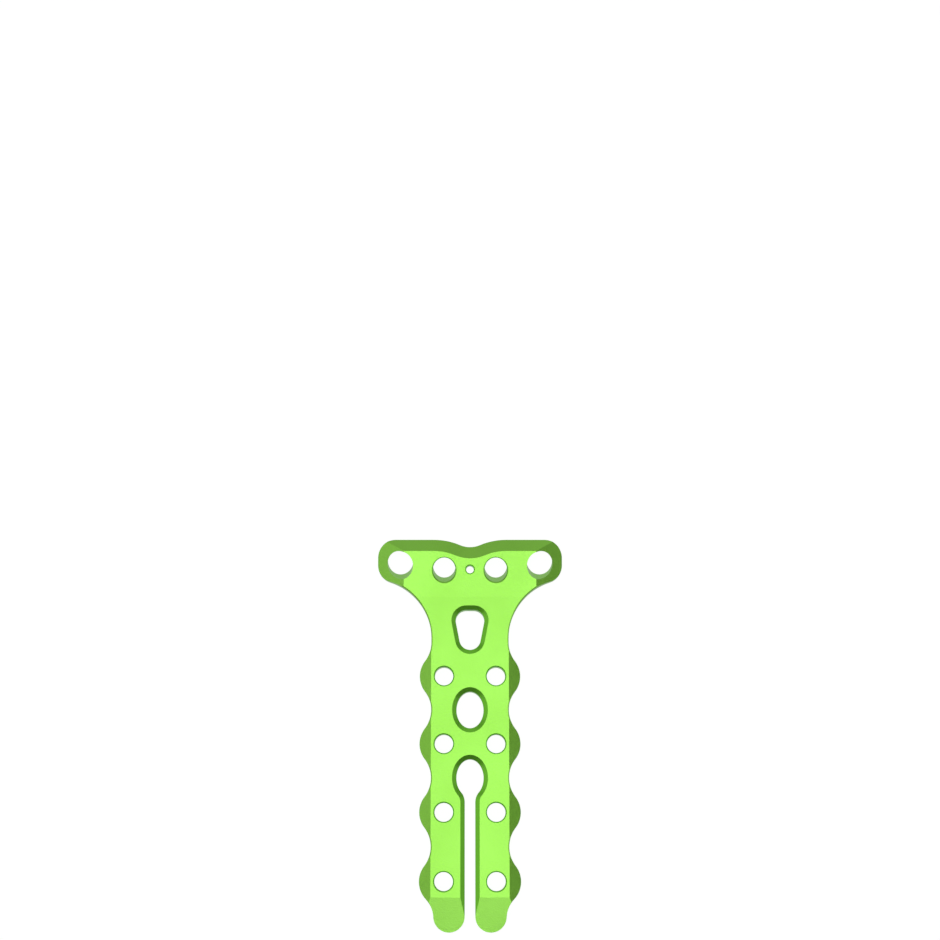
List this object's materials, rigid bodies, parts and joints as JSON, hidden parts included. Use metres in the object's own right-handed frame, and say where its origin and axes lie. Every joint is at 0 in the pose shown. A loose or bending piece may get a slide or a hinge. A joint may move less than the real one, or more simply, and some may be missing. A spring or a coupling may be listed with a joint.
{
  "type": "orthopedic bone plate",
  "caption": "T-shaped anodised bone plate with a slightly raised, notched head, angled head holes, windows and a split shaft with scalloped sides.",
  "frame": {"origin": "centre of the plate's bounding box in X and Y, on the bone side of the shaft", "axes": "+Y from the two feet towards the head, +X across the plate, +Z out of the outer face, away from the bone"},
  "size_m": [0.0262, 0.0544, 0.0025],
  "materials": {
    "anodised_metal": "green anodised, satin"
  },
  "bodies": {
    "root": {"bone_plate": "anodised_metal"}
  },
  "joints": []
}
